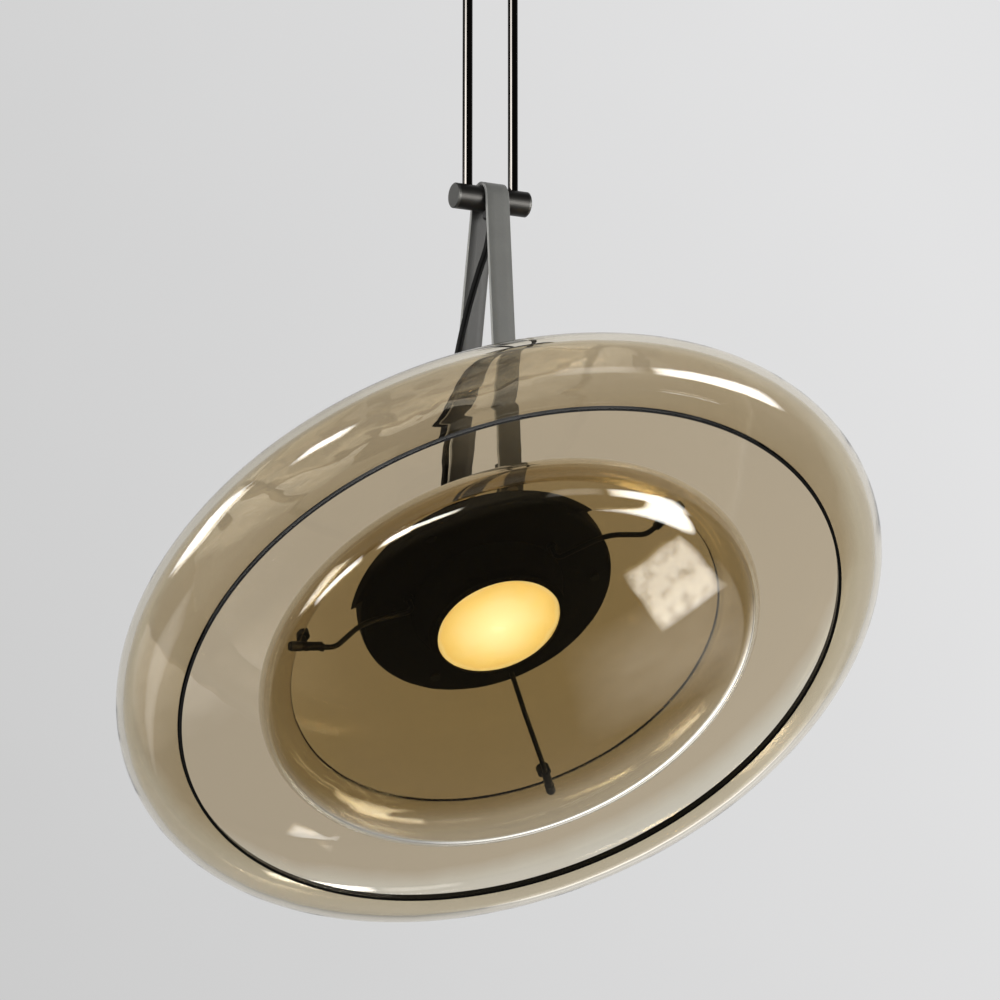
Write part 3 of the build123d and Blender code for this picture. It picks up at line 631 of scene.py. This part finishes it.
shade_glass = glass_finish(
    "smoked_shade_glass", SHADE_TINT, above=150.0, reach=270.0, smoky=0.05, wave=0.0024
)
bowl_glass = glass_finish(
    "smoked_bowl_glass_and_reflection", BOWL_TINT_AND_REFLECTION, above=-300.0, reach=332.0, smoky=0.02, wave=0.0009, lean=0.9
)
# A near black finish for the shade's cut edge: painted shade for the light that enters the edge and never
# comes out.
edge_painted_shade = Finish(
    "glass_edge_painted_shade", Base_Color=(0.003, 0.0028, 0.002, 1.0), Roughness=0.3, Specular_IOR_Level=0.12
)
edge_grain = edge_painted_shade.noise(900.0, detail=2.0)
edge_painted_shade.feed(Roughness=0.16 + 0.16 * edge_grain).bump(edge_grain, 0.00004, 0.4)
print("glass finishes made")

# %% [markdown]
# A lathe for the glass. It takes a closed section of points and turns it about the head's axis, finely enough
# that mirror streaks stay smooth.

# %% Lathe
AROUND = 256
ON_AXIS = 1e-6


def arc(centre, radius, start, stop, steps, skip_first=True):
    """Points on an arc of a section, angles in degrees."""
    made = []
    for step in range(1 if skip_first else 0, steps + 1):
        turn = math.radians(start + (stop - start) * step / steps)
        made.append((centre[0] + radius * math.cos(turn), centre[1] + radius * math.sin(turn)))
    return made


def turn_round(name, section, edges_at, *finishes):
    """Turns a closed section about the head's axis. Sides listed in edges_at take the second finish."""
    vertices, faces, kinds = [], [], []
    count = len(section)
    for step in range(AROUND):
        angle = 2 * math.pi * step / AROUND
        for radius, height in section:
            vertices.append(head_point(radius, angle, height))
    for step in range(AROUND):
        here, there = step * count, (step + 1) % AROUND * count
        for index in range(count):
            after = (index + 1) % count
            if section[index][0] < ON_AXIS and section[after][0] < ON_AXIS:
                continue
            faces.append((here + index, there + index, there + after, here + after))
            kinds.append(1 if index in edges_at else 0)
    mesh = bpy.data.meshes.new(name)
    mesh.from_pydata(vertices, [], faces)
    piece = add_object(name, mesh, *finishes)
    mesh.polygons.foreach_set("material_index", kinds)
    mesh.validate()
    mesh.update()
    return piece


print("lathe ready:", AROUND, "steps round")

# %% [markdown]
# The outer shade is a shallow dome that runs into a round rim, and then into a wide, slightly curved lip that
# ends at the mouth. Its inner skin is the same line, one wall further in.

# %% Outer shade
SHADE_R, RIM_R, CROWN_H, CROWN_R, SHADE_HOLE = 225.0, 20.0, 56.5, 40.0, 5.5
LIP_R, MOUTH_R, SHADE_WALL = 64.0, 192.7, 4.0
DOME_STEPS, RIM_STEPS, LIP_STEPS, PAINTED_EDGE_STEPS = 60, 64, 14, 2
SHADE_SHARP = math.radians(45)


def shade_skin(inset):
    """One skin of the shade's wall, from its centre hole to its mouth."""
    rim = (SHADE_R - RIM_R, 0.0)
    dome_r = ((rim[0] - CROWN_R) ** 2 + CROWN_H**2 - RIM_R**2) / (2 * (CROWN_H - RIM_R))
    dome = (CROWN_R, CROWN_H - dome_r)
    meet = math.degrees(math.atan2(rim[1] - dome[1], rim[0] - dome[0]))
    lip = (rim[0], LIP_R - RIM_R)
    lip_sweep = math.degrees(math.acos((rim[0] - MOUTH_R) / LIP_R)) - 90
    skin = [(radius, CROWN_H - inset) for radius in (SHADE_HOLE, CROWN_R / 2, CROWN_R)]
    skin += arc(dome, dome_r - inset, 90, meet, DOME_STEPS)
    skin += arc(rim, RIM_R - inset, meet, -90, RIM_STEPS)
    skin += arc(lip, LIP_R - inset, -90, -90 + lip_sweep, LIP_STEPS)
    return skin


outer_skin, inner_skin = shade_skin(0.0), shade_skin(SHADE_WALL)
shade_section = inner_skin + outer_skin[::-1]
edge_at = len(inner_skin) - 1
# The sides round the mouth's cut edge take the near black painted shade.
painted_shade_sides = set(range(edge_at - PAINTED_EDGE_STEPS, edge_at + PAINTED_EDGE_STEPS + 1))
shade = turn_round("blown_shade", shade_section, painted_shade_sides, shade_glass, edge_painted_shade)
shade.data.set_sharp_from_angle(angle=SHADE_SHARP)
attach(shade, "head")
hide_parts("outer_shade")
print("shade:", len(shade.data.polygons), "faces")

# %% [markdown]
# The inner bowl has a shallow round bottom, a knuckle where it turns up, and a shoulder that draws in to the
# lip. The wall grows thinner along the shoulder, and the lip's edge is half round.

# %% Inner bowl
BOWL_R, BOWL_EQ, BOWL_DEEP, KNUCKLE, SHOULDER = 147.0, -10.5, 30.5, 20.0, 15.2
LIP_EDGE, BOWL_WALL, LIP_TAPER, LIP_BULGE = 125.0, 3.2, 2.0, 0.8
BOTTOM_STEPS, KNUCKLE_STEPS, SHOULDER_STEPS, EDGE_STEPS = 48, 40, 36, 8


def bowl_skin(inset):
    """One skin of the bowl's wall, from the middle of its bottom to its lip."""
    knuckle = (BOWL_R - KNUCKLE, BOWL_EQ)
    bottom_r = (knuckle[0] ** 2 + BOWL_DEEP**2 - KNUCKLE**2) / (2 * (BOWL_DEEP - KNUCKLE))
    bottom = (0.0, BOWL_EQ - BOWL_DEEP + bottom_r)
    meet = math.degrees(math.atan2(knuckle[1] - bottom[1], knuckle[0] - bottom[0]))
    shoulder = (BOWL_R - SHOULDER, BOWL_EQ)
    lip = math.degrees(math.acos((LIP_EDGE - shoulder[0]) / SHOULDER))
    drawn_in = 0.0 if inset else LIP_TAPER
    skin = arc(bottom, bottom_r - inset, -90, meet, BOTTOM_STEPS, skip_first=False)
    skin += arc(knuckle, KNUCKLE - inset, meet, 0, KNUCKLE_STEPS)
    drawn = arc(shoulder, SHOULDER - inset, 0, lip, SHOULDER_STEPS)
    for step, (radius, height) in enumerate(drawn, start=1):
        pull = drawn_in * (step / SHOULDER_STEPS) ** 2 / (SHOULDER - inset)
        skin.append((radius + (shoulder[0] - radius) * pull, height + (shoulder[1] - height) * pull))
    return skin


def lip_round(outer_end, inner_end):
    """A half-round edge between the ends of the two skins."""
    middle = Vector(outer_end).lerp(Vector(inner_end), 0.5)
    arm = Vector(outer_end) - middle
    ahead = Vector((-arm.y, arm.x))
    made = []
    for step in range(1, EDGE_STEPS):
        turn = math.pi * step / EDGE_STEPS
        point = middle + arm * math.cos(turn) + ahead * math.sin(turn) * LIP_BULGE
        made.append((point.x, point.y))
    return made


outer_skin, inner_skin = bowl_skin(0.0), bowl_skin(BOWL_WALL)
bowl_section = outer_skin + lip_round(outer_skin[-1], inner_skin[-1]) + inner_skin[::-1]
bowl = turn_round("blown_bowl", bowl_section, set(), bowl_glass)
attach(bowl, "head")
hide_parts("inner_bowl")
print("bowl:", len(bowl.data.polygons), "faces")

# %% [markdown]
# The stage is a pale grey surround that stands for the wall behind the lamp. It is the world itself, so it is
# there from every side. The camera sees a soft grey, a little lighter to the right. Matt surfaces are lit
# evenly from above. Mirror rays find a dark room, and rays through the glass a dimmer floor, except towards
# the wall behind the lamp.

# %% Surround
WALL = [(0.0, (0.60, 0.60, 0.60)), (0.5, (0.68, 0.68, 0.682)), (1.0, (0.765, 0.765, 0.77))]
DAYLIGHT = [(0.0, (0.20, 0.20, 0.20)), (1.0, (0.56, 0.57, 0.58))]
FLOOR_BELOW = [
    (0.0, (0.10, 0.098, 0.094)),
    (0.18, (0.10, 0.098, 0.094)),
    (0.28, (0.36, 0.36, 0.355)),
    (0.5, (0.42, 0.42, 0.415)),
]
DARK_ROOM = (0.035, 0.033, 0.030, 1.0)

world = bpy.data.worlds.new("pale_room")
bpy.context.scene.world = world
world.use_nodes = True
room = world.node_tree
room.nodes.clear()


def fit(value, low, high):
    """A wire that goes from 0 to 1 while another goes from low to high."""
    return node(
        room, "ShaderNodeMapRange", None,
        {"Value": value, "From Min": low, "From Max": high, "To Min": 0.0, "To Max": 1.0},
    )


def glowing(colour):
    return node(room, "ShaderNodeBackground", None, {"Color": colour, "Strength": 1.0})


def mix(amount, first, second):
    return node(room, "ShaderNodeMixShader", None, {0: amount, 1: first, 2: second})


where = node(room, "ShaderNodeTexCoord", out="Generated")
rightward, upward, away = [measure(room, "DOT_PRODUCT", where, way) for way in (side, over, look)]
overhead = node(room, "ShaderNodeSeparateXYZ", None, {0: where}, out="Z")
height = overhead * 0.5 + 0.5
plaster = node(room, "ShaderNodeTexNoise", None, {"Vector": where, "Scale": 14.0, "Detail": 4.0})
seen = node(room, "ShaderNodeLightPath", out="Is Camera Ray")
mirrored = node(room, "ShaderNodeLightPath", out="Is Glossy Ray")
through = node(room, "ShaderNodeLightPath", out="Is Transmission Ray")

behind_lamp = fit(away, 0.3, 0.85)
above_floor = fit(overhead, -0.08, -0.02)
shown = glowing(ramp(room, fit(rightward + upward * 0.38 + plaster * 0.05, -0.17, 0.17), WALL))
even = glowing(ramp(room, height, DAYLIGHT))
dim_room = mix(above_floor, glowing(ramp(room, height, FLOOR_BELOW)), shown)
room_mirrored = mix(behind_lamp, glowing(DARK_ROOM), shown)
room_through = mix(behind_lamp, dim_room, shown)
not_seen = mix(through, mix(mirrored, even, room_mirrored), room_through)
surround = mix(seen, not_seen, shown)
output = room.nodes.new("ShaderNodeOutputWorld")
room.links.new(surround.socket, output.inputs["Surface"])
print("surround made")

# %% [markdown]
# A plain pale floor lies far below, as in a room. Mirror rays and rays through the glass pass it by.

# %% Floor
FLOOR_RADIUS, FLOOR_DOWN, FLOOR_SIDES = 40.0, -4.2, 96

floor_edge = []
for step in range(FLOOR_SIDES):
    turn = 2 * math.pi * step / FLOOR_SIDES
    floor_edge.append((FLOOR_RADIUS * math.cos(turn), FLOOR_RADIUS * math.sin(turn), FLOOR_DOWN))
floor_mesh = bpy.data.meshes.new("pale_floor")
floor_mesh.from_pydata(floor_edge, [], [tuple(range(FLOOR_SIDES))])
floor_paint = Finish("pale_floor_paint", Roughness=0.7)
floor_cloud = floor_paint.noise(3.0)
floor_paint.feed(Base_Color=floor_paint.between(floor_cloud, (0.76, 0.76, 0.75), (0.82, 0.82, 0.81)))
floor = add_object("pale_floor", floor_mesh, floor_paint)
floor.visible_glossy = False
floor.visible_transmission = False
print("stage set")

# %% [markdown]
# Soft light comes from windows: to the left, to the front left and to the right. Smaller strips make the
# streaks on one piece of glass, or on the rods, only. Each is laid from one direction to another, along the
# rays that leave the glass where its streak begins and ends, and it fades towards its edges as a curtained
# window does.

# %% Windows
WINDOW_WHITE = (1.0, 0.985, 0.96)
FOLD_SCALE = 5.0


def aim(right, up, back):
    """A direction from the head, by the camera's own right, up and back."""
    return (side * right + over * up - look * back).normalized()


def window(name, start, end, distance, width, glow, only=(), edge=4, folded=0.8):
    """A soft strip of light from one direction to another, facing the head. It may fall on some pieces."""
    first, last = aim(*start) * distance, aim(*end) * distance
    along, behind = (last - first).normalized(), (first + last).normalized()
    light = bpy.data.lights.new(name, "AREA")
    light.shape = "RECTANGLE"
    light.size, light.size_y = (last - first).length, width
    light.energy = glow * light.size * light.size_y * math.pi
    light.use_nodes = True
    tree = light.node_tree
    spot = node(tree, "ShaderNodeNewGeometry", out="Parametric")
    u, v = [node(tree, "ShaderNodeSeparateXYZ", None, {0: spot}, out=axis) * 2 - 1 for axis in "XY"]
    folds = node(tree, "ShaderNodeTexNoise", None, {"Vector": spot, "Scale": FOLD_SCALE, "Detail": 3.0})
    fade = (1 - u**edge) * (1 - v**edge) * (1 - folded / 2 + folded * folds)
    pane = ramp(tree, fade, [(0.0, (0, 0, 0)), (1.0, WINDOW_WHITE)])
    emission = next(n for n in tree.nodes if n.type == "EMISSION")
    tree.links.new(pane.socket, emission.inputs["Color"])
    lamp = bpy.data.objects.new(name, light)
    lamp.matrix_world = standing(along, behind.cross(along), behind, HEAD * MM + (first + last) / 2)
    lamp.visible_camera = False
    bpy.context.scene.collection.objects.link(lamp)
    if only:
        falls_on = bpy.data.collections.new(f"{name}_falls_on")
        for piece in only:
            falls_on.objects.link(piece)
        lamp.light_linking.receiver_collection = falls_on


window("left_window", (-0.965, -0.06, 0.22), (-0.89, 0.40, 0.22), 2.7, 0.95, 24.0)
window("front_left_window", (-0.62, 0.25, 0.745), (-0.36, 0.27, 0.89), 2.8, 0.6, 26.0)
window("right_window", (0.79, 0.04, 0.61), (0.985, 0.04, 0.09), 2.7, 0.95, 22.0)
window("front_right_glow", (0.53, 0.06, 0.85), (0.78, 0.06, 0.62), 2.6, 0.9, 2.0)
rods = [nodes["suspension_rod_left"], nodes["suspension_rod_right"]]
window("rod_strip", (-0.671, 0.231, 0.704), (-0.585, 0.603, 0.543), 2.7, 1.9, 15.0, only=rods)
window("bowl_left_strip", (-0.93, -0.10, 0.36), (-0.72, 0.18, 0.67), 2.73, 0.75, 24.0, only=[bowl])
window("bowl_front_strip", (-0.593, 0.291, 0.75), (-0.02, 0.25, 0.967), 2.73, 0.36, 24.0, only=[bowl])
window("bowl_right_strip", (0.955, 0.05, 0.29), (0.62, -0.76, 0.19), 2.7, 0.75, 24.0, only=[bowl])
window(
    "bowl_side_window", (0.62, -0.785, 0.075), (0.625, -0.770, -0.118), 1.526, 0.19, 7.5, only=[bowl],
    edge=8, folded=2.4,
)
window("bowl_side_glow", (0.60, -0.79, -0.02), (0.56, -0.77, -0.33), 1.55, 0.6, 1.4, only=[bowl], edge=2)
window("bowl_band_glow", (0.80, -0.30, -0.52), (0.0, -0.68, -0.73), 1.6, 0.75, 1.7, only=[bowl], edge=2)
window("shade_floor_glow", (0.18, -0.86, -0.47), (0.62, -0.69, -0.37), 1.6, 0.8, 1.2, only=[shade])
window("shade_left_glow", (-0.05, -0.99, 0.02), (-0.56, -0.71, 0.42), 1.6, 0.6, 1.3, only=[shade])
window("shade_low_streak", (0.665, -0.733, 0.150), (0.629, -0.725, 0.270), 1.98, 0.07, 7.0, only=[shade])
print("windows placed")

# %% [markdown]
# Last, the picture is shown with a plain view transform.

# %% Finish
bpy.context.scene.view_settings.view_transform = "Standard"
